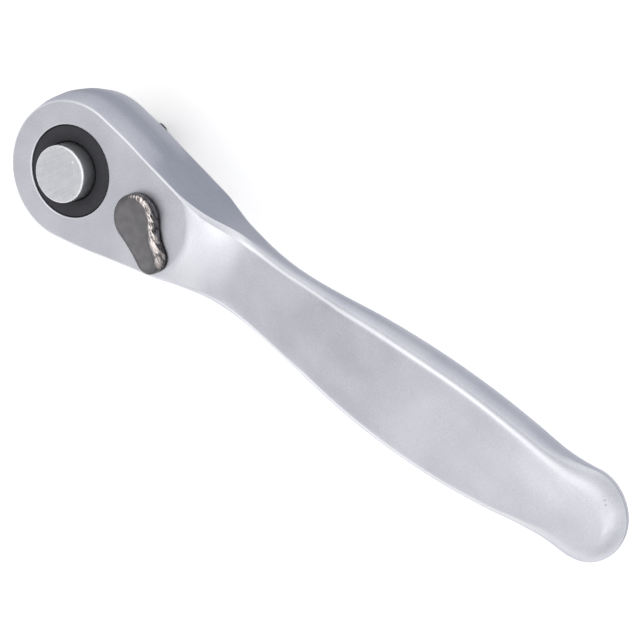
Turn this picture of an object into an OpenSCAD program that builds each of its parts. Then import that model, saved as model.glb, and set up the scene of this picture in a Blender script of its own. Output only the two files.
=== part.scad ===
// Quick-release ratchet wrench with a square drive.
// The origin is on the drive axis, at the shoulder of the square, where a socket seats.
// +Z runs along the drive axis towards the reversing lever, and +X along the handle.

/* [Handle] */
// Length from the drive axis to the centre of the bulb end
handle_len = 106.1; // [95:0.1:130]
// Radius of the round head
head_r = 12.9; // [12.7:0.1:14]
// Thickness of the head
head_t = 11.6; // [11:0.1:13]
// Width of the neck
neck_w = 13; // [11:0.1:16]
// Thickness of the neck
neck_t = 4.4; // [4:0.1:6]
// Greatest width of the grip
grip_w = 18; // [15:0.1:24]
// Thickness of the grip
grip_t = 7; // [5:0.1:9]
// Radius of the bulb end
bulb_r = 7.75; // [7:0.05:10]
// Thickness of the bulb end
bulb_t = 6.6; // [5:0.1:9]
// Height of the grip's middle above the middle of the head, which lifts the knuckles clear
grip_rise = 2.65; // [0:0.05:3]
// How far the head's side wall bulges
head_barrel = 1; // [0.2:0.05:1.2]
// How far the grip's sides bulge
grip_barrel = 0.75; // [0.2:0.05:1.2]
// Radius of the flat land that the reversing lever sweeps, before the head scoops down to the neck
land_r = 9.4; // [9:0.1:11]

/* [Drive] */
// Width across the flats of the drive square
square_af = 6.3; // [6.2:0.05:6.35]
// Length of the drive square
square_len = 10.9; // [8:0.1:12]
// Height of the round collar that stands out of the head behind the square
collar_h = 3.2; // [1.5:0.1:4]
// Radius of the round collar
collar_r = 6; // [5.5:0.1:6.4]
// Number of teeth on the drive gear
tooth_count = 36; // [24:12:60]
// Radius over the tips of the teeth
tip_r = 8.6; // [8.5:0.05:8.8]
// Height of the teeth
tooth_h = 0.65; // [0.5:0.05:0.7]
// Radius of the boss that shows in the head's face
boss_r = 7.8; // [7.5:0.05:7.85]
// Depth of the boss's top below the head's face
boss_sink = 0.2; // [0.1:0.05:0.6]

/* [Quick release] */
// Radius of the push button
button_r = 4.85; // [4.4:0.05:5]
// Height of the button above the head's face
button_h = 3.05; // [2.6:0.05:4]
// Travel of the button
button_travel = 2; // [1.6:0.1:2.2]
// Radius of the detent ball
ball_r = 1.1; // [1:0.05:1.2]
// How far the ball stands out of the square
ball_reach = 0.45; // [0.35:0.05:0.5]
// Radius of the release pin
pin_r = 1.4; // [1.3:0.05:1.5]

/* [Reverser] */
// Distance from the drive axis to the lever's axis
lever_x = 15.5; // [15.3:0.1:16]
// Length of the thumb piece from its axis to the centre of its thin end
lever_len = 6.6; // [6:0.1:9]
// Height of the thumb piece
lever_h = 2.4; // [2:0.1:3.5]
// Radius of the thumb piece's round end
lever_round_r = 4.35; // [3.8:0.05:4.4]
// Radius of the thumb piece's thin end
lever_thin_r = 2.7; // [1.6:0.1:3]
// Angle of the lever to each side of the handle
lever_angle = 39; // [30:1:40]
// Radius of the lever's shaft
shaft_r = 3; // [2.8:0.05:3.1]
// Tilt of the pawl to each side
pawl_tilt = 5; // [4.5:0.1:5.5]
// Radius of the plunger that tips the pawl
plunger_r = 1.1; // [1:0.05:1.2]

/* [Cover] */
// Thickness of the cover plate
cover_t = 1.4; // [1.2:0.1:1.6]
// Radius of the screws' heads
screw_head_r = 1.7; // [1.5:0.05:1.75]
// Radius of the screws' shanks
screw_r = 0.9; // [0.8:0.05:0.95]
// Length of the screws
screw_len = 5; // [4:0.1:5.5]

/* [Fits] */
// Radial clearance of parts that turn or slide in a bore
running = 0.06; // [0.03:0.01:0.1]
// Clearance of parts laid into a pocket
loose = 0.1; // [0.05:0.01:0.15]

/* [Hidden] */
$fn = 72;
eps = 0.01;

// Heights along the drive axis
back_z = collar_h;
face_z = back_z + head_t;
mid_z = back_z + head_t / 2;
floor_z = back_z + cover_t;
front_wall = 3.8;
roof_z = face_z - front_wall;
washer_t = 0.3;
gear_z0 = floor_z + washer_t + loose / 2;
gear_z1 = roof_z - loose;
boss_z = face_z - boss_sink;

// Pocket of the mechanism: three round bites that run into one another
gear_gap = 0.2;
gear_pocket_r = tip_r + gear_gap;
pawl_x = tip_r + 1.8;
pawl_r = 5.6;
pawl_pocket_r = pawl_r + loose;
lever_pocket_r = shaft_r + 0.9;
clip_r = lever_pocket_r - loose;
pawl_z0 = floor_z + loose;
clip_t = 0.55;
pawl_z1 = roof_z - clip_t - 3.5 * loose;

// Quick release
seat_z = back_z + 3.9;
button_z0 = seat_z + button_travel + 0.8;
button_z1 = face_z + button_h;
cap_z = button_z0 + 2.4;
ball_z = -square_len / 2;
ball_x = square_af / 2 + ball_reach - ball_r;
square_turn = 54;
ball_turn = square_turn - 90;
ramp = (ball_reach + 0.05) / button_travel;
ramp_gap = 0.02;
ramp_r = ball_x - ball_r / cos(atan(ramp)) - ramp_gap;

// Reverser
thumb_turn = -lever_angle;
nose_reach = shaft_r + 0.5;
nose_gap = 0.05;
plunger_z = (pawl_z0 + pawl_z1) / 2;

// Cover plate: its screws stand clear of the pockets by a wall
cover_rim = 2.2;
screw_wall = 0.6;
shoulder_y = pawl_pocket_r + screw_r + screw_wall;
shoulder_d = gear_pocket_r + screw_r + 3 * screw_wall;
shoulder_x = sqrt(shoulder_d * shoulder_d - shoulder_y * shoulder_y);
shoulder_r = 2.2;
tail_r = 3.2;
screw_x = lever_x + lever_pocket_r + screw_r + 1.25 * screw_wall;
tail_x = screw_x - 0.9;
screw_places = [[shoulder_x, shoulder_y], [shoulder_x, -shoulder_y], [screw_x, 0]];
sink_h = 0.8;

// ---- Curves ----

function clamp01(u) = max(0, min(1, u));
function mix(a, b, u) = a + (b - a) * u;

// Index of the span of stations s that holds x
function span(s, x, i = 0) = i >= len(s) - 2 || x < s[i + 1][0] ? i : span(s, x, i + 1);

// Slope of the curve at station i, with given slopes at both ends
function slope(s, i, m0, m1) =
    i == 0 ? m0
    : i == len(s) - 1 ? m1
    : (s[i + 1][1] - s[i - 1][1]) / (s[i + 1][0] - s[i - 1][0]);

// Smooth curve through stations s = [[x, value], ...]
function curve(s, x, m0 = 0, m1 = 0) =
    let (
        i = span(s, x),
        h = s[i + 1][0] - s[i][0],
        u = clamp01((x - s[i][0]) / h),
        a = slope(s, i, m0, m1) * h,
        b = slope(s, i + 1, m0, m1) * h
    )
    s[i][1] * (1 - 3 * u * u + 2 * u * u * u) + a * u * (1 - u) * (1 - u)
    + s[i + 1][1] * (3 * u * u - 2 * u * u * u) - b * u * u * (1 - u);

// ---- Handle's shape ----

// The head's arc and the bulb's arc end at these angles, and smooth curves run between them
head_turn = 80;
bulb_turn = 100;
neck_r = neck_w / 2;
grip_r = grip_w / 2;
scoop_x = lever_x + 5.3;
width_x0 = head_r * cos(head_turn);
width_x1 = handle_len + bulb_r * cos(bulb_turn);
root_r = 0.653 * head_r;
function on_head(u) = mix(width_x0, scoop_x, u);
function on_shank(u) = mix(scoop_x, handle_len, u);

// Half width of the handle along X
width_stations = [
    [width_x0, head_r * sin(head_turn)],
    [on_head(0.31), 0.903 * head_r],
    [on_head(0.53), 0.82 * head_r],
    [on_head(0.74), 0.744 * head_r],
    [scoop_x, root_r],
    [on_shank(0.062), mix(root_r, neck_r, 0.61)],
    [on_shank(0.13), mix(root_r, neck_r, 0.865)],
    [on_shank(0.224), neck_r],
    [on_shank(0.34), mix(neck_r, grip_r, 0.29)],
    [on_shank(0.476), mix(neck_r, grip_r, 0.805)],
    [on_shank(0.614), grip_r],
    [on_shank(0.728), 0.973 * grip_r],
    [on_shank(0.832), 0.879 * grip_r],
    [on_shank(0.912), 0.786 * grip_r],
    [width_x1, bulb_r * sin(bulb_turn)]
];
function half_width(x) = curve(width_stations, x, -1 / tan(head_turn), -1 / tan(bulb_turn));

// Rise of the section's middle over the head's middle, and its thickness: [x, rise, thickness]
section_stations = [
    [on_shank(0.19), 0.24 * grip_rise, 1.05 * neck_t],
    [on_shank(0.293), 0.7 * grip_rise, neck_t],
    [on_shank(0.43), 0.9 * grip_rise, mix(neck_t, grip_t, 0.6)],
    [on_shank(0.567), grip_rise, grip_t],
    [on_shank(0.705), 0.985 * grip_rise, grip_t],
    [on_shank(0.842), 0.86 * grip_rise, grip_t],
    [on_shank(0.98), 0.59 * grip_rise, bulb_t],
    [handle_len + bulb_r, 0.73 * grip_rise, 0.74 * bulb_t]
];
neck_top = face_z - 0.259 * head_t;
neck_low = mid_z + section_stations[0][1] - section_stations[0][2] / 2;
land_end = lever_x + land_r;
function in_scoop(u) = land_end + 9.4 * u;
top_stations = concat(
    [
        [land_end, face_z],
        [in_scoop(0.15), mix(face_z, neck_top, 0.18)],
        [in_scoop(0.36), mix(face_z, neck_top, 0.45)],
        [in_scoop(0.57), mix(face_z, neck_top, 0.74)],
        [in_scoop(0.79), mix(face_z, neck_top, 0.94)],
        [in_scoop(1), neck_top]
    ],
    [for (s = section_stations) [s[0], mid_z + s[1] + s[2] / 2]]
);
low_stations = concat(
    [
        [tail_x + tail_r + 0.2, back_z],
        [on_shank(0.045), mix(back_z, neck_low, 0.05)],
        [on_shank(0.074), mix(back_z, neck_low, 0.25)],
        [on_shank(0.11), mix(back_z, neck_low, 0.565)]
    ],
    [for (s = section_stations) [s[0], mid_z + s[1] - s[2] / 2]]
);
scoop_slope = -0.4;
function low_z(x) = x <= low_stations[0][0] ? back_z : curve(low_stations, x);

// The top falls away round the land, so its height goes by the distance from the lever's axis
function reach(x, y) = x <= lever_x ? x : lever_x + norm([x - lever_x, y]);
function top_z(x, y) =
    reach(x, y) <= land_end ? face_z : curve(top_stations, reach(x, y), scoop_slope, 0);

// Size of the long edges along X: crisp on the head, full on the bulb
edge_stations = [
    [0, 0.35], [scoop_x - 1, 0.35], [on_shank(0.06), 0.62], [on_shank(0.12), 0.8],
    [on_shank(0.2), 0.8], [on_shank(0.465), 1], [on_shank(0.86), 1.3], [handle_len, 2.8]
];

// Share of a flat chamfer in the edge: all of it beside the scoop, none on the head and the grip
flat_stations = [
    [0, 0], [scoop_x - 2, 0], [scoop_x + 1.5, 1], [on_shank(0.12), 1], [on_shank(0.2), 0.3],
    [on_shank(0.465), 0], [handle_len + bulb_r, 0]
];

// Bulge of the side wall along X
barrel_stations = [
    [0, head_barrel], [0.6 * head_r, head_barrel], [scoop_x, 0.65 * head_barrel],
    [on_shank(0.155), 0.3 * head_barrel], [on_shank(0.465), grip_barrel],
    [on_shank(0.86), 0.8 * grip_barrel], [handle_len, 0.45 * grip_barrel]
];

// Where the land's arc meets the edges of the top, and where the scoop has run out into the neck
land_y = root_r - 0.65 * head_barrel - edge_stations[1][1];
land_x = lever_x + sqrt(land_r * land_r - land_y * land_y);
neck_x = in_scoop(1);

// One side of the outline from the head's tip to the bulb's tip: [x, y, normal x, normal y]
head_steps = 22;
bulb_steps = 18;
side_x = concat(
    [for (i = [0 : 17]) mix(width_x0, land_x, i / 18)],
    [for (i = [0 : 14]) mix(land_x, neck_x, i / 15)],
    [for (i = [0 : 38]) mix(neck_x, width_x1, i / 39)]
);
side_outline = concat(
    [for (i = [0 : head_steps - 1]) let (a = mix(180, head_turn, i / head_steps))
        [head_r * cos(a), head_r * sin(a), cos(a), sin(a)]],
    [for (x = side_x) let (
            m = (half_width(x + eps) - half_width(x)) / eps,
            n = sqrt(1 + m * m)
        )
        [x, half_width(x), -m / n, 1 / n]],
    [for (i = [0 : bulb_steps]) let (a = mix(bulb_turn, 0, i / bulb_steps))
        [handle_len + bulb_r * cos(a), bulb_r * sin(a), cos(a), sin(a)]]
);
last = len(side_outline) - 1;
ring_size = 2 * last;

// Levels of the section from the underside to the top: [share of the side wall, angle on the edge]
edge_steps = 4;
section_levels = concat(
    [for (i = [edge_steps : -1 : 1]) [-1, 90 * i / edge_steps]],
    [for (h = [-1 : 0.5 : 1]) [h, 0]],
    [for (i = [1 : edge_steps]) [1, 90 * i / edge_steps]]
);

// Point of the top's rim beside outline point p, and the rim's height there
function barrel(x) = curve(barrel_stations, max(x, 0));
function rim(p) = let (d = barrel(p[0]) + curve(edge_stations, max(p[0], 0)))
    [p[0] - d * p[2], max(0, p[1] - d * p[3])];
function rim_z(p) = let (q = rim(p)) top_z(q[0], q[1]);

// Point of the skin at outline point p and on a level's wall share h and edge angle a
function skin_point(p, h, a) =
    let (
        half_t = (rim_z(p) - low_z(p[0])) / 2,
        r = min(curve(edge_stations, max(p[0], 0)), 0.92 * half_t),
        flat = curve(flat_stations, max(p[0], 0)),
        dz = abs(h) * (half_t - r) + r * mix(sin(a), a / 90, flat),
        inset = r * mix(1 - cos(a), a / 90, flat) + barrel(p[0]) * pow(dz / half_t, 2)
    )
    [p[0] - inset * p[2], max(0, p[1] - inset * p[3]), low_z(p[0]) + half_t + sign(h) * dz];

function mirrored(q) = [q[0], -q[1], q[2]];
function skin_ring(e) = concat(
    [for (i = [0 : last]) skin_point(side_outline[i], e[0], e[1])],
    [for (i = [last - 1 : -1 : 1]) mirrored(skin_point(side_outline[i], e[0], e[1]))]
);

// Across the top and the underside each pair of facing edge points is joined by a row of points,
// which rises into a slight crown on the grip. The rows bow out with the land's arc.
top_cols = 12;
low_cols = 6;
crown_h = 0.35;
function crown(x, u) =
    crown_h * clamp01((x - neck_x) / 30) * clamp01((handle_len + bulb_r - x) / 12)
    * pow(1 - u * u, 2);
function bow(x, y, u) =
    let (r = max(land_r, norm([x - lever_x, y])))
    clamp01((x - head_r) / (land_x - head_r)) * (sqrt(r * r - u * u * y * y) - sqrt(r * r - y * y));
function top_row(i) =
    let (q = skin_point(side_outline[i], 1, 90))
    [for (c = [1 : top_cols - 1]) let (
            u = 1 - 2 * c / top_cols,
            x = q[0] + bow(q[0], q[1], u),
            y = q[1] * u
        )
        [x, y, top_z(x, y) + crown(x, u)]];
function low_row(i) =
    let (q = skin_point(side_outline[i], -1, 90))
    [for (c = [1 : low_cols - 1]) let (u = 1 - 2 * c / low_cols)
        [q[0], q[1] * u, q[2] - crown(q[0], u)]];

levels = len(section_levels);
low_cap_start = levels * ring_size;
top_cap_start = low_cap_start + (last - 1) * (low_cols - 1);
function cap_index(start, level, cols, i, c) =
    c == 0 || i == 0 || i == last ? level * ring_size + i
    : c == cols ? level * ring_size + ring_size - i
    : start + (i - 1) * (cols - 1) + c - 1;
function cap_faces(start, level, cols) = [
    for (i = [0 : last - 1], c = [0 : cols - 1]) each let (
            a = cap_index(start, level, cols, i, c),
            b = cap_index(start, level, cols, i, c + 1),
            d = cap_index(start, level, cols, i + 1, c),
            e = cap_index(start, level, cols, i + 1, c + 1)
        )
        i == 0 ? [[a, d, e]] : i == last - 1 ? [[a, d, b]] : [[a, d, e], [a, e, b]]
];
function flipped(faces) = [for (f = faces) [f[0], f[2], f[1]]];
function wall_faces() = [
    for (k = [0 : levels - 2], j = [0 : ring_size - 1]) each let (
            a = k * ring_size + j,
            b = k * ring_size + (j + 1) % ring_size
        )
        [[a, b, b + ring_size], [a, b + ring_size, a + ring_size]]
];

module handle_blank() {
    polyhedron(
        points = concat(
            [for (e = section_levels) each skin_ring(e)],
            [for (i = [1 : last - 1]) each low_row(i)],
            [for (i = [1 : last - 1]) each top_row(i)]
        ),
        faces = concat(
            wall_faces(),
            flipped(cap_faces(low_cap_start, 0, low_cols)),
            cap_faces(top_cap_start, levels - 1, top_cols)
        ),
        convexity = 6
    );
}

// ---- Shared shapes ----

// Round bore or shaft along Z between two heights
module post(r, z0, z1) {
    translate([0, 0, z0])
        cylinder(r = r, h = z1 - z0);
}

// O-ring with a round cord
module seal(mid_r, cord_r, z) {
    translate([0, 0, z])
        rotate_extrude()
            translate([mid_r, 0])
                circle(r = cord_r, $fn = 24);
}

// Coil spring along Z from z0 to z1
module coil(mid_r, wire_r, z0, z1, turns, sides = 6, steps = 20) {
    rings = turns * steps;
    span_z = z1 - z0 - 2 * wire_r;
    function wire(k, j) =
        let (
            a = 360 * k / steps,
            b = 360 * j / sides,
            r = mid_r + wire_r * cos(b)
        )
        [r * cos(a), r * sin(a), z0 + wire_r + span_z * k / rings + wire_r * sin(b)];
    polyhedron(
        points = [for (k = [0 : rings], j = [0 : sides - 1]) wire(k, j)],
        faces = concat(
            [[for (j = [0 : sides - 1]) j]],
            [for (k = [0 : rings - 1], j = [0 : sides - 1]) each let (
                    a = k * sides + j,
                    b = k * sides + (j + 1) % sides
                )
                [[a, a + sides, b + sides], [a, b + sides, b]]],
            [[for (j = [sides - 1 : -1 : 0]) rings * sides + j]]
        ),
        convexity = 10
    );
}

// Points of the toothed wheel's outline, grown by a clearance
function gear_points(grow = 0) =
    let (
        pitch = 360 / tooth_count,
        foot_r = tip_r - tooth_h + grow,
        top_r = tip_r + grow,
        wide = 57.3 * grow / tip_r
    )
    [for (i = [0 : tooth_count - 1], e = [[-0.42, 0], [-0.12, 1], [0.12, 1], [0.42, 0]])
        let (
            a = i * pitch + e[0] * pitch + sign(e[0]) * wide * (e[1] == 1 ? 1 : 0.6),
            r = e[1] == 1 ? top_r : foot_r
        )
        [r * cos(a), r * sin(a)]];

// ---- Handle group ----

module pocket() {
    post(gear_pocket_r, back_z - 1, roof_z);
    translate([pawl_x, 0, 0])
        post(pawl_pocket_r, back_z - 1, roof_z);
    translate([lever_x, 0, 0])
        post(lever_pocket_r, back_z - 1, roof_z);
}

module cover_outline(grow = 0) {
    hull() {
        circle(r = head_r - cover_rim + grow);
        for (y = [-shoulder_y, shoulder_y])
            translate([shoulder_x, y])
                circle(r = shoulder_r + grow);
        translate([tail_x, 0])
            circle(r = tail_r + grow);
    }
}

module handle_body() {
    color([0.74, 0.75, 0.78])
    difference() {
        handle_blank();
        pocket();
        translate([0, 0, back_z - 1])
            linear_extrude(height = cover_t + 1)
                cover_outline(loose / 2);
        post(boss_r + running, roof_z - 1, face_z + 1);
        translate([lever_x, 0, 0])
            post(shaft_r + running, roof_z - 1, face_z + 1);
        for (p = screw_places)
            translate([p[0], p[1], 0])
                post(screw_r + eps, floor_z - 1, back_z + screw_len + 0.5);
    }
}

module cover_plate() {
    color([0.7, 0.71, 0.74])
    difference() {
        translate([0, 0, back_z])
            linear_extrude(height = cover_t)
                cover_outline();
        post(collar_r + running, back_z - 1, floor_z + 1);
        for (p = screw_places)
            translate([p[0], p[1], back_z]) {
                post(screw_r + loose, -1, cover_t + 1);
                cylinder(r1 = screw_head_r + eps, r2 = screw_r + loose, h = sink_h);
            }
    }
}

module cover_screws() {
    color([0.3, 0.3, 0.32])
    for (p = screw_places)
        translate([p[0], p[1], back_z])
            difference() {
                union() {
                    post(screw_r, 0, screw_len);
                    cylinder(r1 = screw_head_r, r2 = screw_r, h = sink_h);
                }
                translate([0, 0, -1])
                    cylinder(r = 0.7, h = 1.6, $fn = 6);
            }
}

module thrust_washer() {
    color([0.55, 0.55, 0.56])
    difference() {
        post(tip_r - tooth_h - 3 * loose, floor_z, floor_z + washer_t);
        post(collar_r + loose, floor_z - 1, floor_z + 1);
    }
}

// ---- Drive group ----

groove_z = (roof_z + boss_z) / 2;
seal_r = 0.36;
groove_r = boss_r - 2 * seal_r - 0.04;
rim_chamfer = 0.3;
tip_chamfer = 0.5;
bore_end = -square_len + 1.1;

module drive_gear() {
    corner_r = 0.67 * square_af;
    color([0.13, 0.13, 0.14])
    difference() {
        union() {
            rotate_extrude()
                polygon([
                    [0, 0], [collar_r - rim_chamfer, 0], [collar_r, rim_chamfer],
                    [collar_r, gear_z0 + eps], [0, gear_z0 + eps]
                ]);
            translate([0, 0, gear_z0])
                linear_extrude(height = gear_z1 - gear_z0)
                    polygon(gear_points());
            rotate_extrude()
                polygon([
                    [0, gear_z1 - eps], [boss_r, gear_z1 - eps],
                    [boss_r, groove_z - 0.45], [groove_r, groove_z - 0.45],
                    [groove_r, groove_z + 0.45], [boss_r, groove_z + 0.45],
                    [boss_r, boss_z - 0.15], [boss_r - 0.15, boss_z], [0, boss_z]
                ]);
            intersection() {
                rotate([0, 0, square_turn])
                    translate([-square_af / 2, -square_af / 2, -square_len])
                        cube([square_af, square_af, square_len + eps]);
                rotate_extrude()
                    polygon([
                        [0, -square_len], [corner_r - tip_chamfer, -square_len],
                        [corner_r, -square_len + tip_chamfer], [corner_r, 1], [0, 1]
                    ]);
            }
        }
        post(button_r + running, seat_z, boss_z + 1);
        translate([0, 0, boss_z - rim_chamfer])
            cylinder(r1 = button_r + running, r2 = button_r + running + 2 * rim_chamfer,
                h = 2 * rim_chamfer);
        post(pin_r + running, bore_end, seat_z + 1);
        translate([0, 0, ball_z])
            rotate([0, 90, ball_turn]) {
                post(ball_r + 0.04, 0, ball_x + 0.45);
                post(ball_r - 0.07, 0, square_af);
            }
    }
}

module gear_seal_ring() {
    color([0.06, 0.06, 0.06])
    seal(groove_r + seal_r + eps, seal_r, groove_z);
}

// ---- Quick release group ----

module release_button() {
    edge = 0.15;
    color([0.78, 0.79, 0.8])
    rotate_extrude()
        polygon([
            [0, button_z1], [button_r - edge, button_z1], [button_r, button_z1 - edge],
            [button_r, button_z0], [button_r - 1.1, button_z0], [button_r - 1.1, cap_z],
            [pin_r, cap_z], [pin_r, button_z1 - 1.6], [0, button_z1 - 1.6]
        ]);
}

module release_pin() {
    hold = 0.55;
    end_z = ball_z - 1.2;
    ramp_top = ball_z + button_travel;
    color([0.62, 0.63, 0.65])
    rotate_extrude()
        polygon([
            [0, end_z], [pin_r - 0.2, end_z], [pin_r, end_z + 0.2],
            [pin_r, ball_z - hold - 0.15], [ramp_r, ball_z - hold], [ramp_r, ball_z],
            [ramp_r - ramp * button_travel, ramp_top],
            [ramp_r - ramp * button_travel, ramp_top + 0.7],
            [pin_r, ramp_top + 1.1], [pin_r, button_z1 - 1.6], [0, button_z1 - 1.6]
        ]);
}

module button_spring() {
    color([0.6, 0.6, 0.62])
    coil(2.9, 0.25, seat_z, cap_z, 5);
}

module detent_ball() {
    color([0.8, 0.8, 0.82])
    rotate([0, 0, ball_turn])
        translate([ball_x, 0, ball_z])
            sphere(r = ball_r, $fn = 48);
}

// ---- Reverser group ----

// Turns its children about the pawl's rocking centre
module rock(a) {
    translate([pawl_x, 0, 0])
        rotate([0, 0, a])
            translate([-pawl_x, 0, 0])
                children();
}

module pawl() {
    back_x = lever_x - shaft_r + 0.4;
    color([0.35, 0.35, 0.37])
    rock(pawl_tilt)
        translate([0, 0, pawl_z0])
            linear_extrude(height = pawl_z1 - pawl_z0)
                difference() {
                    intersection() {
                        translate([pawl_x, 0])
                            circle(r = pawl_r);
                        translate([0, -pawl_r])
                            square([back_x, 2 * pawl_r]);
                    }
                    translate([lever_x, 0])
                        circle(r = nose_reach + nose_gap);
                    for (s = [-1, 1])
                        rock(s * pawl_tilt)
                            polygon(gear_points(0.05));
                }
}

// Places its children on the plunger's line: +Z here points from the lever's axis to the pawl
module plunger_line() {
    translate([lever_x, 0, plunger_z])
        rotate([0, 90, 180 + thumb_turn])
            children();
}

plunger_tail = shaft_r - 1.8;
hole_tail = 0.9 - shaft_r;

module pawl_pusher() {
    color([0.7, 0.7, 0.72])
    plunger_line() {
        post(plunger_r, plunger_tail, nose_reach - plunger_r);
        translate([0, 0, nose_reach - plunger_r])
            sphere(r = plunger_r, $fn = 48);
    }
}

module pusher_spring() {
    color([0.6, 0.6, 0.62])
    plunger_line()
        coil(plunger_r - 0.35, 0.15, hole_tail, plunger_tail, 6);
}

shaft_groove_r = shaft_r - 2 * seal_r - 0.02;
shaft_seal_z = mix(roof_z, face_z, 0.55);
clip_z = roof_z - clip_t - loose;
clip_neck_r = shaft_r - 0.45;

// Outline of the thumb piece, drawn in by an inset: a round end, hollow sides and a thin end
side_bend = 10.5;
function thumb_outline(inset) =
    let (
        r0 = lever_round_r - inset,
        r1 = lever_thin_r - inset,
        big = side_bend + inset,
        // Centre of the hollow side's arc, which touches both ends from outside
        d0 = r0 + big,
        d1 = r1 + big,
        cx = (d0 * d0 - d1 * d1 + lever_len * lever_len) / (2 * lever_len),
        cy = sqrt(d0 * d0 - cx * cx),
        a0 = atan2(cy, cx),
        a1 = atan2(cy, cx - lever_len),
        half = concat(
            [for (i = [0 : 10]) let (a = mix(a1, 0, 1 - i / 10))
                [lever_len + r1 * cos(a), r1 * sin(a)]],
            [for (i = [1 : 7]) let (a = mix(a1, a0, i / 8) + 180)
                [cx + big * cos(a), cy + big * sin(a)]],
            [for (i = [0 : 14]) let (a = mix(a0, 180, i / 14))
                [r0 * cos(a), r0 * sin(a)]]
        )
    )
    concat(half, [for (i = [len(half) - 2 : -1 : 1]) [half[i][0], -half[i][1]]]);

// The thumb piece in layers: [height above its base, inset, shift across]. Its sides stand
// upright, then slope in to a flat top that lies nearer to one side.
thumb_layers = [
    [0, 0, 0], [0.46 * lever_h, 0.04, 0], [0.58 * lever_h, 0.14, 0.02],
    [0.9 * lever_h, 0.72, 0.24], [0.97 * lever_h, 0.88, 0.29], [lever_h, 1.05, 0.3]
];

// Flat cap over a mirrored outline of n points that starts on its axis
function strip_faces(start, n) = [
    for (i = [0 : n / 2 - 1]) each let (a = start + i, b = start + (n - i) % n)
        i == 0 ? [[a, a + 1, start + n - 1]]
        : i == n / 2 - 1 ? [[a, a + 1, b]]
        : [[a, a + 1, b - 1], [a, b - 1, b]]
];

module thumb_piece() {
    rings = [for (l = thumb_layers) [for (p = thumb_outline(l[1])) [p[0], p[1] + l[2], l[0]]]];
    n = len(rings[0]);
    polyhedron(
        points = [for (r = rings) each r],
        faces = concat(
            strip_faces(0, n),
            [for (k = [0 : len(rings) - 2], j = [0 : n - 1]) each let (
                    a = k * n + j,
                    b = k * n + (j + 1) % n
                )
                [[a, a + n, b + n], [a, b + n, b]]],
            flipped(strip_faces((len(rings) - 1) * n, n))
        ),
        convexity = 4
    );
}

module reversing_lever() {
    thumb_z = face_z + loose / 2;
    color([0.33, 0.3, 0.3])
    difference() {
        union() {
            translate([lever_x, 0, thumb_z])
                rotate([0, 0, thumb_turn])
                    thumb_piece();
            translate([lever_x, 0, 0])
                post(shaft_r, floor_z + loose, thumb_z + 0.5);
        }
        translate([lever_x, 0, shaft_seal_z])
            rotate_extrude()
                translate([shaft_groove_r, -0.45])
                    square([2, 0.9]);
        translate([lever_x, 0, clip_z])
            rotate_extrude()
                translate([clip_neck_r, -0.03])
                    square([2, clip_t + 0.06]);
        plunger_line()
            post(plunger_r + running, hole_tail, shaft_r + 1);
    }
}

module lever_seal_ring() {
    color([0.06, 0.06, 0.06])
    translate([lever_x, 0, 0])
        seal(shaft_groove_r + seal_r + eps, seal_r, shaft_seal_z);
}

module lever_circlip() {
    color([0.4, 0.4, 0.42])
    translate([lever_x, 0, clip_z])
        difference() {
            cylinder(r = clip_r, h = clip_t);
            translate([0, 0, -1])
                cylinder(r = clip_neck_r + 0.02, h = clip_t + 2);
            rotate([0, 0, thumb_turn])
                translate([0, -1.4, -1])
                    cube([clip_r + 1, 2.8, clip_t + 2]);
        }
}

handle_body();
cover_plate();
cover_screws();
thrust_washer();
drive_gear();
gear_seal_ring();
release_button();
release_pin();
button_spring();
detent_ball();
pawl();
pawl_pusher();
pusher_spring();
reversing_lever();
lever_seal_ring();
lever_circlip();
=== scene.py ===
"""Looks of a small quick-release ratchet wrench with a satin chrome handle."""

import math

import bmesh
import bpy
from mathutils import Matrix, Vector


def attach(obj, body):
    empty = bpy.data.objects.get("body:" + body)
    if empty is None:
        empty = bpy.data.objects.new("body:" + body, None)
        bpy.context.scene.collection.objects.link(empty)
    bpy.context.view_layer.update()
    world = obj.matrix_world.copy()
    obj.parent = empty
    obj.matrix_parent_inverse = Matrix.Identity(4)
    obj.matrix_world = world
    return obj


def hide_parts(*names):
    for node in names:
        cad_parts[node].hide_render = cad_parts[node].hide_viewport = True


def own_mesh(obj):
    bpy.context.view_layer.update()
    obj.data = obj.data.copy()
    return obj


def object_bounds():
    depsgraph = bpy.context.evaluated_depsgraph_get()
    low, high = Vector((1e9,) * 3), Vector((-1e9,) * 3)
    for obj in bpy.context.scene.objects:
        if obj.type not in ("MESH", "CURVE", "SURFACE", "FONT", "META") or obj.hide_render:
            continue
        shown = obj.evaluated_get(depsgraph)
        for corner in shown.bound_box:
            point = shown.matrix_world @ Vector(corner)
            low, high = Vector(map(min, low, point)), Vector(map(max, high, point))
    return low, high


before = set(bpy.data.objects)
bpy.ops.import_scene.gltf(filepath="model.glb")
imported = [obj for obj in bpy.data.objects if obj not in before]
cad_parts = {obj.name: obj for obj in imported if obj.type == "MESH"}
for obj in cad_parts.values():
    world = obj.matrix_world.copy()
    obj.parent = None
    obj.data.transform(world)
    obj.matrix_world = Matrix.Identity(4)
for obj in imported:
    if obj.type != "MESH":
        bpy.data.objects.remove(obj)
cad_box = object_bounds()

MM = 0.001
FACE_Z = 14.8 * MM
# Edges bent less than this are shaded smooth; the lever's lumps and the handle's small
# roundings need more
SMOOTH = math.radians(28)
LEVER_SMOOTH = math.radians(40)
HANDLE_SMOOTH = math.radians(50)
# Points closer than this are the same point; points this near a plane or an arc lie on it
SAME = 2e-6
ON_PLANE = 0.02 * MM
ON_ARC = 0.03 * MM

# Reversing lever: its thumb piece is drawn with its axis at the origin and its thin end along +X
LEVER_X = 15.5 * MM
LEVER_TURN = math.radians(-39)
LEVER_BASE = FACE_Z + 0.05 * MM
ROUND_X = -0.3 * MM
ROUND_R = 4.3 * MM
THIN_X = 6.5 * MM
THIN_R = 2.72 * MM

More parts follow.
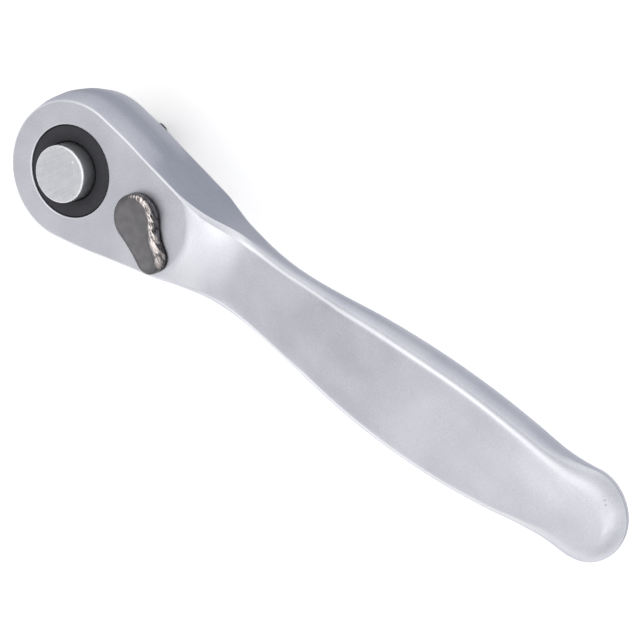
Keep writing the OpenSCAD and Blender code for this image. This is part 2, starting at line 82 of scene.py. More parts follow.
# The flat land of the face ends in an arc round the lever's axis, and the scoop follows it
LAND_R = 9.4 * MM
SCOOP_START, SCOOP_END = LEVER_X + 5 * MM, 54 * MM
WALLS_START, WALLS_END = 13 * MM, 36 * MM
BULB_START = 101 * MM
BORE_R = 7.86 * MM

# Strength of the floor's own glow, and the gap that keeps it clear of the drive's tip
FLOOR_GLOW = 0.28
FLOOR_GAP = 0.2 * MM


# ---- Camera ----

def set_camera():
    """The camera looks down on the head from its far left, along the handle."""
    right = Vector((0.764029, 0.359988, -0.535413))
    down = Vector((0.529353, -0.824191, 0.201232))
    ahead = right.cross(down)
    data = bpy.data.cameras.new("camera")
    data.sensor_width = 36
    data.lens = 236.406
    data.clip_start = 0.01
    data.clip_end = 20
    camera = bpy.data.objects.new("camera", data)
    turn = Matrix((right, -down, -ahead)).transposed()
    place = Vector((0.302377, 0.299839, 0.570248))
    camera.matrix_world = Matrix.Translation(place) @ turn.to_4x4()
    bpy.context.scene.collection.objects.link(camera)
    bpy.context.scene.camera = camera


# ---- Modelling helpers ----

def pick_only(obj):
    """Selects one object and makes it active."""
    bpy.ops.object.select_all(action="DESELECT")
    obj.select_set(True)
    bpy.context.view_layer.objects.active = obj


def edit(kind):
    """Goes into edit mode, to pick points, edges or faces."""
    bpy.ops.object.mode_set(mode="EDIT")
    bpy.ops.mesh.select_mode(type=kind)


def leave_edit():
    """Goes back to object mode."""
    bpy.ops.object.mode_set(mode="OBJECT")


def pick_verts(piece, wanted):
    """In edit mode, selects the points that a test wants."""
    mesh = bmesh.from_edit_mesh(piece.data)
    for vert in mesh.verts:
        vert.select = bool(wanted(vert))
    mesh.select_flush_mode()
    bmesh.update_edit_mesh(piece.data)


def round_edge(piece, width, segments, wanted):
    """In edit mode, bevels the edges between the points that a test wants; width in mm."""
    pick_verts(piece, wanted)
    bpy.ops.mesh.select_mode(type="EDGE")
    bpy.ops.mesh.bevel(offset=width * MM, segments=segments, clamp_overlap=True)
    bpy.ops.mesh.select_mode(type="VERT")


def even_out(piece, repeat, axes, wanted):
    """In edit mode, smooths the points that a test wants, along the axes named."""
    pick_verts(piece, wanted)
    bpy.ops.mesh.vertices_smooth(factor=0.5, repeat=repeat, xaxis="x" in axes,
                                 yaxis="y" in axes, zaxis="z" in axes)


def finish_mesh(piece, angle=SMOOTH):
    """Merges doubles, turns the faces outwards and shades by angle."""
    pick_only(piece)
    edit("VERT")
    bpy.ops.mesh.select_all(action="SELECT")
    bpy.ops.mesh.remove_doubles(threshold=SAME)
    bpy.ops.mesh.normals_make_consistent(inside=False)
    leave_edit()
    bpy.ops.object.shade_smooth_by_angle(angle=angle)


def working_copy(node, name):
    """A merged, smooth-shaded copy of a CAD node that stands for it."""
    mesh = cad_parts[node].data.copy()
    mesh.name = name
    mesh.materials.clear()
    piece = bpy.data.objects.new(name, mesh)
    bpy.context.scene.collection.objects.link(piece)
    pick_only(piece)
    if mesh.has_custom_normals:
        bpy.ops.mesh.customdata_custom_splitnormals_clear()
    edit("VERT")
    bpy.ops.mesh.select_all(action="SELECT")
    bpy.ops.mesh.remove_doubles(threshold=SAME)
    leave_edit()
    bpy.ops.object.shade_smooth_by_angle(angle=SMOOTH)
    return piece


def turned(name, profile, count=96, centre=(0, 0)):
    """Turns a closed profile [(radius, height), ...] in mm, ring by ring from a first circle."""
    radius, height = profile[0]
    bpy.ops.object.select_all(action="DESELECT")
    bpy.ops.mesh.primitive_circle_add(vertices=count, radius=radius * MM,
                                      location=(0, 0, height * MM))
    piece = bpy.context.object
    piece.name = name
    bpy.ops.object.transform_apply(location=True)
    edit("VERT")
    bpy.ops.mesh.select_all(action="SELECT")
    bpy.ops.mesh.edge_face_add()
    for next_radius, next_height in profile[1:]:
        bpy.ops.mesh.extrude_region_move(
            TRANSFORM_OT_translate={"value": (0, 0, (next_height - height) * MM)})
        grow = next_radius / radius
        bpy.ops.transform.resize(value=(grow, grow, 1), center_override=(0, 0, 0))
        radius, height = next_radius, next_height
    leave_edit()
    piece.location = (*centre, 0)
    bpy.ops.object.transform_apply(location=True)
    finish_mesh(piece)
    return piece


def wear_map(piece, low=8, high=20):
    """Point attribute that is 1 on outer edges and 0 on flats, from the bend in degrees."""
    mesh = bmesh.new()
    mesh.from_mesh(piece.data)
    bend = [0.0] * len(mesh.verts)
    for edge in mesh.edges:
        if len(edge.link_faces) == 2:
            angle = math.degrees(edge.calc_face_angle_signed(0))
            share = min(max((angle - low) / (high - low), 0), 1)
            for vert in edge.verts:
                bend[vert.index] = max(bend[vert.index], share)
    # Each worn edge fades into its neighbours
    fade = 0.6
    bend = [max(bend[v.index], fade * max(bend[e.other_vert(v).index] for e in v.link_edges))
            for v in mesh.verts]
    mesh.free()
    layer = piece.data.attributes.new("wear", "FLOAT", "POINT")
    for i, value in enumerate(bend):
        layer.data[i].value = value


def seat(piece, body, slot, material, *nodes):
    """Puts a finished piece on its body in place of its CAD nodes."""
    piece.data.materials.clear()
    piece.data.materials.append(material)
    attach(piece, body)
    if nodes:
        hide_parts(*nodes)


# ---- Material helpers ----

def math_node(tree, kind, *values, clamp=False):
    """A sum on values, each a number or another node's output."""
    node = tree.nodes.new("ShaderNodeMath")
    node.operation = kind
    node.use_clamp = clamp
    for socket, value in zip(node.inputs, values):
        if isinstance(value, (int, float)):
            socket.default_value = value
        else:
            tree.links.new(value, socket)
    return node.outputs[0]


class Finish:
    """A material in the making: a metal or other surface with its own grain and wear."""

    def __init__(self, name, colour, metallic, roughness):
        self.material = bpy.data.materials.new(name)
        self.material.use_nodes = True
        self.tree = self.material.node_tree
        self.nodes, self.links = self.tree.nodes, self.tree.links
        self.shader = self.nodes["Principled BSDF"]
        self.set("Base Color", (*colour, 1))
        self.set("Metallic", metallic)
        self.set("Roughness", roughness)
        self.place = self.nodes.new("ShaderNodeTexCoord").outputs["Object"]
        self.relief = None

    def set(self, socket, value):
        """Sets a value that is the same all over."""
        self.shader.inputs[socket].default_value = value

    def plug(self, out, socket):
        """Joins a node's output to the shader."""
        self.links.new(out, self.shader.inputs[socket])

    def math(self, kind, *values, clamp=False):
        """A sum on values, as nodes."""
        return math_node(self.tree, kind, *values, clamp=clamp)

    def times(self, *values):
        """The product of two or more values."""
        product = values[0]
        for value in values[1:]:
            product = self.math("MULTIPLY", product, value)
        return product

    def spread(self, value, low, high, out_low=0.0, out_high=1.0):
        """Maps low..high of a value to out_low..out_high."""
        node = self.nodes.new("ShaderNodeMapRange")
        self.links.new(value, node.inputs["Value"])
        for socket, number in (("From Min", low), ("From Max", high),
                               ("To Min", out_low), ("To Max", out_high)):
            node.inputs[socket].default_value = number
        return node.outputs[0]

    def noise(self, size, detail=2.0, stretch=(1, 1, 1), turn=0.0, rough=0.5):
        """Cloudy pattern with features of a size in mm, stretched by factors along X, Y, Z."""
        mapping = self.nodes.new("ShaderNodeMapping")
        mapping.vector_type = "TEXTURE"
        mapping.inputs["Rotation"].default_value = (0, 0, turn)
        mapping.inputs["Scale"].default_value = stretch
        self.links.new(self.place, mapping.inputs["Vector"])
        node = self.nodes.new("ShaderNodeTexNoise")
        node.inputs["Scale"].default_value = 1 / (size * MM)
        node.inputs["Detail"].default_value = detail
        node.inputs["Roughness"].default_value = rough
        self.links.new(mapping.outputs[0], node.inputs["Vector"])
        return node.outputs["Fac"]

    def wear(self):
        """The piece's own wear map."""
        node = self.nodes.new("ShaderNodeAttribute")
        node.attribute_name = "wear"
        return node.outputs["Fac"]

    def vector(self, kind, other, out="Value"):
        """A vector sum of the place on the piece, in metres, with a fixed vector."""
        node = self.nodes.new("ShaderNodeVectorMath")
        node.operation = kind
        self.links.new(self.place, node.inputs[0])
        node.inputs[1].default_value = other
        return node.outputs[out]

    def facing(self, axis, low, high):
        """How far the surface looks along an axis, either way, mapped from low..high to 0..1."""
        normal = self.nodes.new("ShaderNodeTexCoord").outputs["Normal"]
        return self.spread(self.math("ABSOLUTE", self.part(normal, axis)), low, high)

    def part(self, vector, axis):
        """One axis of a vector."""
        node = self.nodes.new("ShaderNodeSeparateXYZ")
        self.links.new(vector, node.inputs[0])
        return node.outputs["xyz".index(axis)]

    def along(self, axis, low, high, out_low=0.0, out_high=1.0):
        """The place along an axis, mapped from low..high in mm."""
        return self.spread(self.part(self.place, axis), low * MM, high * MM, out_low, out_high)

    def spot(self, centre, radius):
        """1 inside a ragged spot round a point, 0 outside; both in mm."""
        away = self.vector("DISTANCE", [c * MM for c in centre])
        ragged = self.math("MULTIPLY_ADD", self.noise(0.5 * radius, 2), radius * MM, away)
        return self.spread(ragged, 1.3 * radius * MM, 0.8 * radius * MM)

    def bump(self, height, depth, strength=1.0):
        """Adds a relief of a depth in mm on top of the earlier ones."""
        node = self.nodes.new("ShaderNodeBump")
        node.inputs["Distance"].default_value = depth * MM
        node.inputs["Strength"].default_value = strength
        self.links.new(height, node.inputs["Height"])
        if self.relief is not None:
            self.links.new(self.relief, node.inputs["Normal"])
        self.relief = node.outputs[0]
        self.plug(self.relief, "Normal")

    def tint(self, share, first, second):
        """Base colour that goes from the first to the second with a share."""
        node = self.nodes.new("ShaderNodeMix")
        node.data_type = "RGBA"
        self.links.new(share, node.inputs[0])
        for socket, colour in ((node.inputs[6], first), (node.inputs[7], second)):
            if isinstance(colour, (tuple, list)):
                socket.default_value = (*colour, 1)
            else:
                self.links.new(colour, socket)
        self.plug(node.outputs[2], "Base Color")
        return node.outputs[2]


# Knocks in the plating: place on the handle in mm, radius in mm
KNOCKS = [
    ((87.9, -5.9, 14.6), 0.32), ((108.4, 5.8, 12.9), 0.34), ((108.9, 5.3, 12.9), 0.26),
    ((109.4, 4.7, 12.9), 0.36), ((109.9, 4.1, 12.9), 0.28), ((46.5, 1.7, 14.7), 0.26),
    ((26, 5.9, 13.9), 0.22), ((25.2, 3.4, 13.6), 0.16), ((70.1, 1.9, 15), 0.16)]


def satin_chrome():
    """Blasted and plated steel: fine grain, cloudy sheen, edges rubbed smoother, painted
    highlights on ridges and painted shade on the sides.
    """
    finish = Finish("satin_chrome", (0.66, 0.66, 0.7), 1, 0.38)
    finish.set("Specular Tint", (0.72, 0.72, 0.74, 1))
    clouds = finish.noise(9, 3)
    smears = finish.noise(2.2, 4, (3, 1, 1))
    grain = finish.noise(0.26, 2, rough=0.7)
    sheen = finish.spread(finish.math("ADD", finish.times(clouds, 0.6), finish.times(smears, 0.4)),
                          0.3, 0.7, 0.34, 0.42)
    # Ridges and the scoop's steep start are rubbed smoother and carry a painted highlight, the
    # bulb less
    rubbed_and_painted_highlight = finish.times(finish.facing("z", 0.965, 0.92), finish.facing("z", 0.72, 0.84),
                         finish.along("x", 98, 106, 1, 0.3))
    # The sides get painted shade, a dull blue-grey, more than the top and the back do, and the
    # head's sides most of it; they are a little rougher too
    side = finish.times(finish.facing("z", 0.55, 0.05), finish.along("x", 24, 46, 0.58, 0.42))
    rough = finish.math("ADD", sheen, finish.times(rubbed_and_painted_highlight, -0.08))
    finish.plug(finish.math("ADD", rough, finish.times(side, 0.15), clamp=True), "Roughness")
    plating = finish.tint(finish.spread(finish.math("ADD", clouds, grain), 0.75, 1.25),
                          (0.59, 0.597, 0.655), (0.715, 0.72, 0.77))
    # Painted highlight: the ridges and the scoop's start tinted nearly white
    plating = finish.tint(finish.times(rubbed_and_painted_highlight, 0.55), plating, (0.94, 0.94, 0.96))
    # Painted shade: the sides tinted towards a dark blue-grey
    plating = finish.tint(side, plating, (0.03, 0.05, 0.107))
    knocks = 0.0
    for centre, radius in KNOCKS:
        knocks = finish.math("ADD", finish.spot(centre, radius), knocks, clamp=True)
    finish.tint(finish.times(knocks, 0.55), plating, (0.2, 0.2, 0.21))
    finish.bump(grain, 0.008, 0.8)
    finish.bump(finish.noise(1.6, 2), 0.006, 0.5)
    finish.bump(knocks, -0.04, 0.8)
    return finish.material


def plain_steel():
    """Hidden steel parts: an even metal with a fine grain and uneven sheen."""
    colour, roughness = (0.5, 0.5, 0.52), 0.38
    finish = Finish("plain_steel", colour, 1, roughness)
    clouds = finish.noise(1.8, 3)
    finish.plug(finish.spread(clouds, 0.3, 0.7, roughness - 0.06, roughness + 0.08), "Roughness")
    finish.tint(finish.spread(clouds, 0.35, 0.65), colour, [0.82 * c for c in colour])
    finish.bump(finish.noise(0.15, 2), 0.004, 0.6)
    return finish.material


def seal_rubber():
    """Oiled black rubber with faint mould grain."""
    finish = Finish("seal_rubber", (0.02, 0.02, 0.02), 0, 0.5)
    clouds = finish.noise(0.9, 3)
    finish.plug(finish.spread(clouds, 0.3, 0.7, 0.38, 0.62), "Roughness")
    finish.tint(finish.spread(clouds, 0.3, 0.7), (0.016, 0.016, 0.017), (0.03, 0.03, 0.03))
    finish.bump(finish.noise(0.12, 2), 0.006, 0.6)
    return finish.material


def black_oxide():
    """Blackened steel: an even dull blue-black with turning marks, a few specks of dust and
    painted shade round the button.
    """
    finish = Finish("black_oxide", (0.05, 0.05, 0.058), 0.6, 0.45)
    clouds = finish.noise(4, 2)
    dust = finish.spread(finish.noise(0.3, 1), 0.765, 0.79)
    coat = finish.tint(finish.spread(clouds, 0.3, 0.7),
                       (0.042, 0.042, 0.05), (0.05, 0.05, 0.058))
    finish.plug(finish.spread(clouds, 0.3, 0.7, 0.4, 0.5), "Roughness")
    # Turning marks run round the drive's own axis, about one every 0.15 mm
    length = finish.nodes.new("ShaderNodeVectorMath")
    length.operation = "LENGTH"
    finish.links.new(finish.vector("MULTIPLY", (1, 1, 0), "Vector"), length.inputs[0])
    radius = length.outputs["Value"]
    radians_per_metre = 42000
    turns = finish.math("SINE", finish.times(radius, radians_per_metre))
    # The ring round the button is darkest next to it: painted shade
    painted_shade_near_button = finish.times(finish.spread(radius, 6.7 * MM, 5 * MM), finish.along("z", 8, 11))
    coat = finish.tint(finish.times(painted_shade_near_button, 0.55), coat, (0.008, 0.008, 0.01))
    finish.tint(finish.times(dust, 0.5), coat, (0.42, 0.42, 0.44))
    finish.bump(turns, 0.0012, 0.5)
    finish.bump(finish.noise(0.12, 2), 0.003, 0.5)
    finish.bump(dust, 0.02, 0.5)
    return finish.material


def turned_steel():
    """Bare machined steel: fine straight scratches, a bruised rim, a painted highlight on the rim
    and painted shade low on the sides.
    """
    finish = Finish("turned_steel", (0.7, 0.71, 0.74), 1, 0.34)
    top = finish.facing("z", 0.3, 0.8)
    lines = finish.noise(0.1, 3, (40, 1, 40), 0.9)
    cross = finish.noise(0.08, 2, (30, 1, 30), 2.2)
    # The rim carries a painted highlight on the side towards the lever, with a ragged lower edge
    ragged = finish.spread(finish.noise(0.5, 3), 0.3, 0.7, -0.28 * MM, 0.28 * MM)
    rim_highlight_height = finish.math("ADD", finish.part(finish.place, "z"), ragged)
    highlight_side = finish.spread(finish.vector("DOT_PRODUCT", (0.9, 0.43, 0)), 0, 3.5 * MM)
    painted_rim_highlight = finish.times(finish.spread(rim_highlight_height, 17.25 * MM, 17.42 * MM), highlight_side,
                       finish.facing("z", 0.99, 0.9))
    bruise = finish.times(finish.wear(), finish.spread(finish.noise(0.6, 3), 0.46, 0.56))
    nick = finish.spot((1.5, 3.3, 17.85), 0.3)
    marks = finish.math("ADD", finish.spread(lines, 0.35, 0.65, 0, 0.7),
                        finish.spread(cross, 0.5, 0.7, 0, 0.5), clamp=True)
    face = finish.tint(marks, (0.66, 0.67, 0.71), (0.8, 0.81, 0.845))
    # Painted light and shade: the side is lighter towards the top and darker towards the base
    side = finish.tint(finish.along("z", 15.2, 17.6), (0.7, 0.72, 0.72), (0.95, 0.96, 0.96))
    face = finish.tint(top, side, face)
    bare = finish.math("ADD", finish.times(bruise, 0.3), nick)
    # Painted highlight on the rim, with the bruises and the nick, tinted nearly white
    finish.tint(finish.math("MAXIMUM", finish.times(painted_rim_highlight, 0.85), bare, clamp=True), face,
                (0.95, 0.95, 0.95))
    finish.plug(finish.spread(finish.noise(1.1, 3), 0.3, 0.7, 0.3, 0.36), "Roughness")
    finish.bump(finish.times(lines, top), 0.006, 0.7)
    finish.bump(finish.times(cross, top), 0.004, 0.6)
    finish.bump(bruise, 0.03, 0.5)
    finish.bump(nick, 0.05, 0.6)
    return finish.material


def black_nickel():
    """Dark plated lever: dull on its top, worn bright metal and a painted highlight along its
    raised edge, painted shade on its sides.
    """
    finish = Finish("black_nickel", (0.21, 0.205, 0.218), 1, 0.36)
    # The raised edge is on the side of the lever that lies away from the grip's middle line
    side = Vector((-math.sin(LEVER_TURN), math.cos(LEVER_TURN), 0))
    across = finish.spread(finish.math("ADD", finish.vector("DOT_PRODUCT", side),
                                       -LEVER_X * side.x), 0.6 * MM, 2.4 * MM)
    shoulder = finish.times(finish.facing("z", 0.3, 0.6), finish.facing("z", 0.99, 0.93), across)
    # Wear and knocks run in streaks along the lever
    streaks = finish.noise(0.3, 3, (8, 1, 2), LEVER_TURN, 0.6)
    blotch = finish.spread(finish.noise(1.1, 2), 0.3, 0.44)
    worn_and_painted_highlight = finish.times(shoulder, finish.spread(streaks, 0.43, 0.52), blotch)
    plating = finish.tint(finish.spread(finish.noise(1.5, 3), 0.35, 0.65),
                          (0.19, 0.185, 0.195), (0.23, 0.223, 0.233))
    # Painted shade: the sides are much darker than the top, with streaks
    painted_shade_flank = finish.tint(finish.spread(streaks, 0.36, 0.62), (0.03, 0.029, 0.032),
                        (0.17, 0.163, 0.168))
    plating = finish.tint(finish.facing("z", 0.7, 0.35), plating, painted_shade_flank)
    # Painted shade along the rounded edge on the side away from the raised edge
    edge = finish.times(finish.wear(), finish.math("SUBTRACT", 1.0, across))
    plating = finish.tint(finish.times(edge, 0.6), plating, (0.05, 0.049, 0.052))
    # Worn bright metal and a painted highlight along the raised edge, pinkish white
    plating = finish.tint(worn_and_painted_highlight, plating, (0.97, 0.87, 0.83))
    cracks = finish.spread(finish.noise(0.3, 2, (7, 1, 2), LEVER_TURN), 0.56, 0.61)
    plating = finish.tint(finish.times(cracks, shoulder, 0.9), plating, (0.01, 0.01, 0.01))
    # Painted contact shadow: darker towards the foot, where the lever meets the land
    base = LEVER_BASE / MM
    painted_contact_shadow = finish.along("z", base + 0.5, base + 0.3)
    finish.tint(finish.times(painted_contact_shadow, 0.92), plating, (0.01, 0.01, 0.01))
    sheen = finish.spread(finish.noise(1.2, 2), 0.3, 0.7, 0.34, 0.42)
    finish.plug(finish.math("ADD", sheen, finish.times(finish.wear(), -0.2), clamp=True),
                "Roughness")
    finish.bump(finish.noise(0.14, 3), 0.008, 0.5)
    # Tool marks along the sides, and dents where it is worn
    marks = finish.noise(0.16, 2, (9, 1, 3), LEVER_TURN)
    finish.bump(finish.times(marks, finish.facing("z", 0.8, 0.4)), 0.05, 0.7)
    finish.bump(finish.times(streaks, finish.wear()), 0.12, 0.7)
    return finish.material


set_camera()

chrome = satin_chrome()
black = black_oxide()
steel = turned_steel()
nickel = black_nickel()
hidden = plain_steel()
rubber = seal_rubber()


# ---- Handle, cover and drive ----

def soften_scoop(piece):
    """Rounds the edge where the land falls into the scoop and evens out the scoop's run."""
    def from_axis(v):
        return math.hypot(v.co.x - LEVER_X, v.co.y)

    def on_top(v):
        return v.co.z > 9 * MM and all(f.normal.z > 0.86 for f in v.link_faces)

    def on_wall(v):
        return all(abs(f.normal.z) < 0.3 for f in v.link_faces)

    pick_only(piece)
    edit("VERT")
    round_edge(piece, 0.8, 3, lambda v: v.co.x > LEVER_X + 4 * MM
               and abs(v.co.z - FACE_Z) < ON_PLANE and abs(from_axis(v) - LAND_R) < ON_ARC)
    even_out(piece, 45, "z", lambda v: SCOOP_START < v.co.x < SCOOP_END
             and from_axis(v) > LAND_R - 1.5 * MM and on_top(v))
    even_out(piece, 10, "y", lambda v: WALLS_START < v.co.x < WALLS_END and on_wall(v))
    # The bulb's end is blended rounder than the grip's edges
    even_out(piece, 8, "xyz", lambda v: v.co.x > BULB_START and v.co.z > 11.6 * MM
             and v.normal.z > 0.2)
    # The bore's edge is broken with a small bevel
    round_edge(piece, 0.2, 2, lambda v: v.co.z > FACE_Z - 0.05 * MM
               and abs(v.co.xy.length - BORE_R) < ON_ARC)
    leave_edit()
    bpy.ops.object.shade_smooth_by_angle(angle=HANDLE_SMOOTH)
    # Broad faces keep their own shading, so the small roundings at their edges look crisp
    even = piece.modifiers.new("even", "WEIGHTED_NORMAL")
    even.mode = "FACE_AREA_WITH_ANGLE"
    even.keep_sharp = True
    bpy.ops.object.modifier_apply(modifier=even.name)


handle = working_copy("handle_body", "handle")
soften_scoop(handle)
seat(handle, "handle", "forged_chrome", chrome, "handle_body")

for node, body, slot, material in [
        ("cover_plate", "handle", "plate_chrome", chrome),
        ("cover_screws", "handle", "screw_black", black),
        ("drive_gear", "drive", "gear_black", black),
        ("detent_ball", "ball", "ball_steel", steel)]:
    piece = working_copy(node, node + "_piece")
    if material is steel:
        wear_map(piece)
    seat(piece, body, slot, material, node)


# ---- Push button ----

# Cap with a rounded rim, hollow below for its spring and its pin
button = turned("button_cap", [
    (1.4, 16.25), (1.4, 12.3), (3.75, 12.3), (3.75, 9.9), (4.75, 9.9), (4.85, 10),
    (4.85, 10.4), (4.85, 17.1), (4.85, 17.4), (4.85, 17.6), (4.83, 17.69), (4.78, 17.77),
    (4.71, 17.82), (4.62, 17.85), (4.45, 17.85), (2.5, 17.85), (1.2, 17.85), (0.4, 17.85)])
wear_map(button, 6, 16)
seat(button, "button", "button_steel", steel, "release_button")


# ---- Reversing lever ----

def thumb_outline():
    """The pear outline: two circles opened where they meet the hollow sides, then joined."""
    bpy.ops.object.select_all(action="DESELECT")
    bpy.ops.mesh.primitive_circle_add(vertices=72, radius=ROUND_R, location=(0, 0, 0))
    piece = bpy.context.object
    piece.name = "thumb_lever"
    span = THIN_X - ROUND_X
    near = 0.02 * MM
    steps = 10
    edit("VERT")
    # Each hollow side is an arc that touches both ends from outside
    arcs = {}
    for side, bend in ((1, 10.5 * MM), (-1, 26 * MM)):
        out = ROUND_R + bend
        arc_x = (out ** 2 - (THIN_R + bend) ** 2 + span ** 2) / (2 * span)
        arcs[side] = (bend, arc_x, math.sqrt(out ** 2 - arc_x ** 2))
        touch_x = ROUND_R * arc_x / out
        pick_verts(piece, lambda v: v.co.x > touch_x + near and side * v.co.y > -near)
        bpy.ops.mesh.delete(type="VERT")
    bpy.ops.mesh.primitive_circle_add(vertices=48, radius=THIN_R, location=(span, 0, 0))
    pick_verts(piece, lambda v: v.co.x < span - near
               and (v.co.xy - Vector((span, 0))).length < THIN_R + near)
    bpy.ops.mesh.delete(type="VERT")
    for side, (bend, arc_x, arc_y) in arcs.items():
        left = max(v.co.x for v in bmesh.from_edit_mesh(piece.data).verts
                   if side * v.co.y > near and v.co.xy.length < ROUND_R + near)
        left_y = math.sqrt(ROUND_R ** 2 - left ** 2)
        ends = (Vector((left, side * left_y, 0)), Vector((span, side * THIN_R, 0)))
        pick_verts(piece, lambda v: min((v.co - end).length for end in ends) < near)
        bpy.ops.mesh.edge_face_add()
        bpy.ops.mesh.subdivide(number_cuts=steps - 1)
        for i in range(1, steps):
            x = left + (span - left) * i / steps
            straight_y = left_y + (THIN_R - left_y) * i / steps
            hollow_y = arc_y - math.sqrt(bend ** 2 - (x - arc_x) ** 2)
            pick_verts(piece, lambda v: abs(v.co.x - x) < near / 4
                       and abs(side * v.co.y - straight_y) < near / 4)
            bpy.ops.transform.resize(value=(1, hollow_y / straight_y, 1),
                                     center_override=(0, 0, 0))
    bpy.ops.mesh.select_all(action="SELECT")
    bpy.ops.mesh.edge_face_add()
    bpy.ops.transform.translate(value=(ROUND_X, 0, 0))
    return piece


def lean(piece, moves):
    """Moves corners of a box lattice round the piece, {(x, y, z) as 0 or 1: move in mm}."""
    low = Vector([min(v.co[i] for v in piece.data.vertices) for i in range(3)])
    high = Vector([max(v.co[i] for v in piece.data.vertices) for i in range(3)])
    bpy.ops.object.add(type="LATTICE", location=(low + high) / 2)
    box = bpy.context.object
    box.scale = high - low
    grid = box.data
    grid.points_u = grid.points_v = grid.points_w = 2
    grid.interpolation_type_u = "KEY_LINEAR"
    grid.interpolation_type_v = "KEY_LINEAR"
    grid.interpolation_type_w = "KEY_LINEAR"
    for (x, y, z), move in moves.items():
        corner = grid.points[x + 2 * y + 4 * z]
        step = [MM * m / s for m, s in zip(move, high - low)]
        corner.co_deform = corner.co_deform + Vector(step)
    pick_only(piece)
    shape = piece.modifiers.new("lean", "LATTICE")
    shape.object = box
    bpy.context.view_layer.update()
    bpy.ops.object.modifier_apply(modifier=shape.name)
    bpy.data.objects.remove(box)


def make_thumb():
    """The thumb piece: foot, side, rounded and crowned top, then leant over and knocked about."""
    piece = thumb_outline()
    # The foot stands a little under the body, which leaves a dark line on the land
    foot, foot_height, side_step = 0.92, 0.28 * MM, 0.32 * MM
    bpy.ops.transform.resize(value=(foot, foot, 1), center_override=(0, 0, 0))
    bpy.ops.mesh.extrude_region_move(TRANSFORM_OT_translate={"value": (0, 0, foot_height)})
    bpy.ops.transform.resize(value=(1 / foot, 1 / foot, 1), center_override=(0, 0, 0))
    for _ in range(4):
        bpy.ops.mesh.extrude_region_move(TRANSFORM_OT_translate={"value": (0, 0, side_step)})
    # The top edge is rounded with the same small turn at each step, then the top is crowned
    edge, turns, crown_step = 0.8 * MM, 6, 0.45 * MM
    for i in range(turns):
        a, b = (math.radians(90 * k / turns) for k in (i, i + 1))
        bpy.ops.mesh.inset(thickness=edge * (math.cos(a) - math.cos(b)),
                           depth=edge * (math.sin(b) - math.sin(a)))
        bpy.ops.transform.translate(value=(0, -0.04 * MM, 0))
    for lift in (0.07, 0.04, 0.02):
        bpy.ops.mesh.inset(thickness=crown_step, depth=lift * MM)
    leave_edit()
    lean(piece, {(0, 0, 1): (0.15, 0.1, -0.95), (1, 0, 1): (0, 0.1, -0.95),
                 (0, 1, 1): (0.1, 0.3, 0), (1, 1, 1): (0, -1.5, -0.25)})
    # Knocks and lumps along the raised edge
    edit("VERT")
    pick_verts(piece, lambda v: v.co.y > 0.6 * MM and 0.7 * MM < v.co.z
               and abs(v.normal.z) < 0.97)
    bpy.ops.object.vertex_group_add()
    bpy.ops.object.vertex_group_assign()
    leave_edit()
    lumps = bpy.data.textures.new("lumps", "CLOUDS")
    lumps.noise_scale = 0.75 * MM
    lumps.noise_depth = 2
    shape = piece.modifiers.new("lumps", "DISPLACE")
    shape.texture = lumps
    shape.strength = 0.3 * MM
    shape.vertex_group = piece.vertex_groups[0].name
    bpy.ops.object.modifier_apply(modifier=shape.name)
    piece.location = (LEVER_X, 0, LEVER_BASE)
    piece.rotation_euler = (0, 0, LEVER_TURN)
    bpy.ops.object.transform_apply(location=True, rotation=True)
    finish_mesh(piece, LEVER_SMOOTH)
    return piece


thumb = make_thumb()
wear_map(thumb, 6, 16)
seat(thumb, "lever", "lever_nickel", nickel, "reversing_lever")

shaft = turned("lever_shaft", [
    (3, 14.9), (3, 13.54), (2.26, 13.5), (2.26, 12.7), (3, 12.66), (3, 10.94), (2.55, 10.92),
    (2.55, 10.33), (3, 10.3), (3, 4.9), (2.8, 4.7), (0.5, 4.7)], 48, (LEVER_X, 0))
wear_map(shaft)
seat(shaft, "lever", "lever_nickel", nickel, "reversing_lever")


# ---- Springs ----

# Each spring is a merged copy of its CAD node, put on its body: axis, seat and length at rest in
# mm, and the joint's travel in mm
for node, body, joint, axis, place, length, travel in [
        ("button_spring", "drive", "button_press", (0, 0, 1), (0, 0, 7.1), 5.17, 2),
        ("pusher_spring", "lever", "pusher_slide", (0.777146, -0.62932, 0),
         (16.77, -1.03, 7.4), 2.38, 0.6)]:
    coil = working_copy(node, node + "_coil")
    seat(coil, body, "spring_steel", hidden, node)
    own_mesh(coil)

for name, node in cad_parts.items():
    node.data.materials.clear()
    node.data.materials.append(rubber if "seal" in name else hidden)


# ---- Stage ----

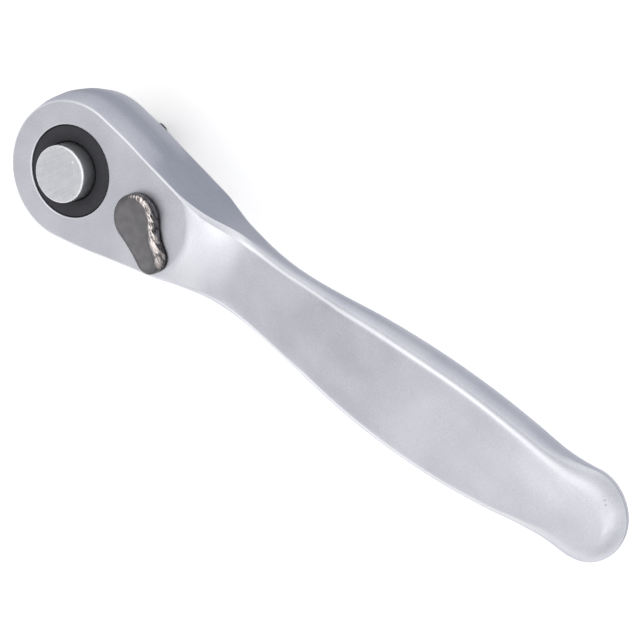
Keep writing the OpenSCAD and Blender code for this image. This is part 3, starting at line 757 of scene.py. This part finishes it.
def set_stage():
    """A pale floor under the drive, which keeps the wrench's shadow."""
    bpy.context.scene.view_settings.view_transform = "Standard"
    bpy.ops.object.select_all(action="DESELECT")
    bpy.ops.mesh.primitive_plane_add(size=6, location=(0, 0, cad_box[0].z - FLOOR_GAP))
    floor = bpy.context.object
    floor.name = "floor"
    material = bpy.data.materials.new("floor_white")
    material.use_nodes = True
    tree = material.node_tree
    nodes, links = tree.nodes, tree.links
    nodes.clear()
    diffuse = nodes.new("ShaderNodeBsdfDiffuse")
    diffuse.inputs["Color"].default_value = (0.95, 0.95, 0.95, 1)
    # The camera sees it a little lighter than it is lit, and so does what mirrors it
    path = nodes.new("ShaderNodeLightPath").outputs
    seen = math_node(tree, "MAXIMUM", path["Is Camera Ray"], path["Is Glossy Ray"])
    seen = math_node(tree, "MAXIMUM", seen, path["Is Transmission Ray"])
    glow = nodes.new("ShaderNodeEmission")
    links.new(math_node(tree, "MULTIPLY", seen, FLOOR_GLOW), glow.inputs["Strength"])
    both = nodes.new("ShaderNodeAddShader")
    links.new(diffuse.outputs[0], both.inputs[0])
    links.new(glow.outputs[0], both.inputs[1])
    out = nodes.new("ShaderNodeOutputMaterial")
    links.new(both.outputs[0], out.inputs["Surface"])
    floor.data.materials.append(material)


# The room's even light, how quickly a bright patch falls off, and the patches' strengths, by
# their elevation and azimuth in degrees
EVEN_LIGHT = 0.29
LOBE = 25
ROOM = {
    89: {0: 0.24},
    72: {15: 0.2, 75: 0.16, 135: 0.51, 195: 0.32, 255: 0.52, 315: 0.66},
    53: {15: 0.46, 45: 0.44, 75: 0.29, 105: 0.5, 135: 0.53, 165: 0.31, 255: 0.17, 285: 0.25,
         315: 0.35, 345: 0.41},
    33: {0: 0.61, 30: 0.71, 60: 0.46, 90: 0.47, 120: 0.66, 150: 0.33, 180: 0.27, 210: 0.28,
         240: 0.63, 270: 0.36, 300: 0.24, 330: 0.3},
    8: {0: 0.57, 30: 0.56, 60: 0.45, 90: 0.45, 120: 0.45, 150: 0.45, 180: 0.63, 210: 0.86,
         240: 0.94, 270: 0.67, 300: 0.52, 330: 0.48},
}


def set_world():
    """A pale room: an even light and soft bright patches."""
    world = bpy.data.worlds.new("studio")
    bpy.context.scene.world = world
    world.use_nodes = True
    tree = world.node_tree
    nodes, links = tree.nodes, tree.links
    direction = nodes.new("ShaderNodeTexCoord").outputs["Generated"]
    total = EVEN_LIGHT
    for elevation, row in ROOM.items():
        for azimuth, strength in row.items():
            a, e = math.radians(azimuth), math.radians(elevation)
            dot = nodes.new("ShaderNodeVectorMath")
            dot.operation = "DOT_PRODUCT"
            links.new(direction, dot.inputs[0])
            dot.inputs[1].default_value = (math.cos(a) * math.cos(e),
                                           math.sin(a) * math.cos(e), math.sin(e))
            fall = math_node(tree, "MULTIPLY_ADD", dot.outputs["Value"], LOBE, -LOBE)
            fall = math_node(tree, "EXPONENT", fall)
            total = math_node(tree, "MULTIPLY_ADD", fall, strength, total)
    # The camera itself sees plain white beyond the floor
    seen = nodes.new("ShaderNodeLightPath").outputs["Is Camera Ray"]
    back = nodes["Background"]
    back.inputs["Color"].default_value = (1, 1, 1, 1)
    links.new(math_node(tree, "MAXIMUM", total, seen), back.inputs["Strength"])


set_stage()
set_world()
